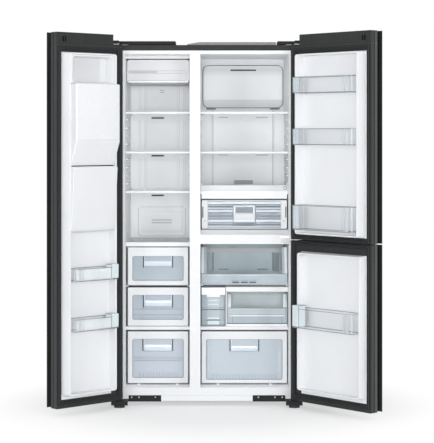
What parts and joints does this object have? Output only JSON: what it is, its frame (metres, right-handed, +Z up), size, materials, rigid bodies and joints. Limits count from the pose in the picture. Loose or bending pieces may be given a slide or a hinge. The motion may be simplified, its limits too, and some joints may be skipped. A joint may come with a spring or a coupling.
{
  "type": "side by side refrigerator",
  "caption": "Wide free-standing refrigerator with a full-height freezer door beside upper and lower fridge doors, shelves, drawers, door bins and a door dispenser.",
  "frame": {"origin": "on the floor under the middle of the whole object's box, doors open as they stand", "axes": "+X to the right seen from the front, +Y to the back, +Z up"},
  "size_m": [1.5632, 1.0832, 1.795],
  "materials": {
    "back_panel": "galvanised sheet",
    "base_plate": "galvanised sheet",
    "bottom_hinges": "pressed steel",
    "cabinet_shell": "satin paint",
    "chiller_drawer": "moulded with slats",
    "compartment_partition": "moulded",
    "compressor": "black paint",
    "condenser": "black wire and fins",
    "condenser_fan": "moulded",
    "control_box_cover": "moulded",
    "crisper_drawer": "clear moulded window, white rim",
    "dispenser_housing": "moulded",
    "dispenser_paddle": "moulded",
    "dispenser_recess": "moulded",
    "drip_pan": "moulded",
    "evaporator": "fins",
    "evaporator_fan": "moulded",
    "fan_motors": "moulded",
    "freezer_drawer_bottom": "clear moulded window, white rim",
    "freezer_drawer_middle": "clear moulded window, white rim",
    "freezer_drawer_top": "clear moulded window, white rim",
    "freezer_duct_panel": "moulded",
    "freezer_liner": "vacuum formed",
    "freezer_shelf_trims": "moulded",
    "freezer_shelves": "toughened glass",
    "freezer_top_panel": "moulded",
    "fridge_duct_panel": "moulded",
    "fridge_liner": "vacuum formed",
    "fridge_shelf_trims": "moulded",
    "fridge_shelves": "toughened glass",
    "front_frame": "satin paint",
    "hinge_covers": "moulded",
    "insulation": "rigid foam",
    "kick_panel": "moulded",
    "left_door_bins": "clear moulded plastic",
    "left_door_foam": "rigid foam",
    "left_door_frame": "moulded",
    "left_door_gasket": "soft magnetic seal",
    "left_door_liner": "vacuum formed",
    "left_door_panel": "satin paint",
    "levelling_feet": "moulded",
    "lower_door_bin": "clear moulded plastic",
    "lower_door_foam": "rigid foam",
    "lower_door_frame": "moulded",
    "lower_door_gasket": "soft magnetic seal",
    "lower_door_liner": "vacuum formed",
    "lower_door_panel": "satin paint",
    "machine_room_cover": "pressed sheet",
    "middle_hinge": "pressed steel",
    "rear_rollers": "moulded",
    "sliding_tray": "clear moulded plastic",
    "small_bin": "moulded",
    "top_hinges": "pressed steel",
    "upper_door_bins": "clear moulded plastic",
    "upper_door_foam": "rigid foam",
    "upper_door_frame": "moulded",
    "upper_door_gasket": "soft magnetic seal",
    "upper_door_liner": "vacuum formed",
    "upper_door_panel": "satin paint",
    "wide_bin": "moulded"
  },
  "bodies": {
    "cabinet": {"cabinet_shell": "cabinet_shell", "back_panel": "back_panel", "base_plate": "base_plate", "insulation": "insulation", "freezer_liner": "freezer_liner", "fridge_liner": "fridge_liner", "front_frame": "front_frame", "compartment_partition": "compartment_partition", "kick_panel": "kick_panel", "freezer_duct_panel": "freezer_duct_panel", "freezer_top_panel": "freezer_top_panel", "fridge_duct_panel": "fridge_duct_panel", "evaporator": "evaporator", "drip_pan": "drip_pan", "condenser": "condenser", "compressor": "compressor", "fan_motors": "fan_motors", "machine_room_cover": "machine_room_cover", "top_hinges": "top_hinges", "hinge_covers": "hinge_covers", "control_box_cover": "control_box_cover", "middle_hinge": "middle_hinge", "bottom_hinges": "bottom_hinges", "levelling_feet": "levelling_feet", "freezer_shelves": "freezer_shelves", "freezer_shelf_trims": "freezer_shelf_trims", "fridge_shelves": "fridge_shelves", "fridge_shelf_trims": "fridge_shelf_trims"},
    "rollers": {"rear_rollers": "rear_rollers"},
    "evaporator_fan_wheel": {"evaporator_fan": "evaporator_fan"},
    "condenser_fan_wheel": {"condenser_fan": "condenser_fan"},
    "drawer_top": {"freezer_drawer_top": "freezer_drawer_top"},
    "drawer_middle": {"freezer_drawer_middle": "freezer_drawer_middle"},
    "drawer_bottom": {"freezer_drawer_bottom": "freezer_drawer_bottom"},
    "chiller": {"chiller_drawer": "chiller_drawer"},
    "crisper": {"crisper_drawer": "crisper_drawer"},
    "tray": {"sliding_tray": "sliding_tray"},
    "bin_small": {"small_bin": "small_bin"},
    "bin_wide": {"wide_bin": "wide_bin"},
    "left_door": {"left_door_panel": "left_door_panel", "left_door_frame": "left_door_frame", "left_door_foam": "left_door_foam", "left_door_liner": "left_door_liner", "left_door_gasket": "left_door_gasket", "left_door_bins": "left_door_bins", "dispenser_housing": "dispenser_housing", "dispenser_recess": "dispenser_recess"},
    "paddle": {"dispenser_paddle": "dispenser_paddle"},
    "upper_door": {"upper_door_panel": "upper_door_panel", "upper_door_frame": "upper_door_frame", "upper_door_foam": "upper_door_foam", "upper_door_liner": "upper_door_liner", "upper_door_gasket": "upper_door_gasket", "upper_door_bins": "upper_door_bins"},
    "lower_door": {"lower_door_panel": "lower_door_panel", "lower_door_frame": "lower_door_frame", "lower_door_foam": "lower_door_foam", "lower_door_liner": "lower_door_liner", "lower_door_gasket": "lower_door_gasket", "lower_door_bin": "lower_door_bin"}
  },
  "joints": [
    {"name": "left_door_hinge", "type": "hinge", "parent": "cabinet", "child": "left_door", "pos_m": [-0.47178, -0.12874, 0.035], "axis": [0, 0, -1], "range_deg": [-137.3, 2.7]},
    {"name": "upper_door_hinge", "type": "hinge", "parent": "cabinet", "child": "upper_door", "pos_m": [0.40962, -0.12874, 0.811], "axis": [0, 0, 1], "range_deg": [-132, 8]},
    {"name": "lower_door_hinge", "type": "hinge", "parent": "cabinet", "child": "lower_door", "pos_m": [0.40962, -0.12874, 0.035], "axis": [0, 0, 1], "range_deg": [-132, 8]},
    {"name": "drawer_top_slide", "type": "slide", "parent": "cabinet", "child": "drawer_top", "axis": [0, -1, 0], "range_m": [0, 0.3]},
    {"name": "drawer_middle_slide", "type": "slide", "parent": "cabinet", "child": "drawer_middle", "axis": [0, -1, 0], "range_m": [0, 0.3]},
    {"name": "drawer_bottom_slide", "type": "slide", "parent": "cabinet", "child": "drawer_bottom", "axis": [0, -1, 0], "range_m": [0, 0.2]},
    {"name": "chiller_slide", "type": "slide", "parent": "cabinet", "child": "chiller", "axis": [0, -1, 0], "range_m": [0, 0.28]},
    {"name": "crisper_slide", "type": "slide", "parent": "cabinet", "child": "crisper", "axis": [0, -1, 0], "range_m": [0, 0.2]},
    {"name": "tray_slide", "type": "slide", "parent": "cabinet", "child": "tray", "axis": [0, -1, 0], "range_m": [0, 0.3]},
    {"name": "small_bin_slide", "type": "slide", "parent": "cabinet", "child": "bin_small", "axis": [0, -1, 0], "range_m": [0, 0.2]},
    {"name": "wide_bin_slide", "type": "slide", "parent": "cabinet", "child": "bin_wide", "axis": [0, -1, 0], "range_m": [0, 0.2]},
    {"name": "evaporator_fan_spin", "type": "hinge", "parent": "cabinet", "child": "evaporator_fan_wheel", "pos_m": [-0.26308, 0.42856, 0.887], "axis": [0, -1, 0], "continuous": true},
    {"name": "condenser_fan_spin", "type": "hinge", "parent": "cabinet", "child": "condenser_fan_wheel", "pos_m": [-0.18708, 0.42656, 0.14], "axis": [-1, 0, 0], "continuous": true},
    {"name": "rollers_spin", "type": "hinge", "parent": "cabinet", "child": "rollers", "pos_m": [-0.03108, 0.49656, 0.018], "axis": [1, 0, 0], "continuous": true},
    {"name": "paddle_hinge", "type": "hinge", "parent": "left_door", "child": "paddle", "pos_m": [-0.61019, -0.23782, 1.222], "axis": [-0.7349, -0.6782, 0], "range_deg": [0, 8], "stiffness_Nm_per_rad": 0.5, "springref_deg": -5.73}
  ]
}
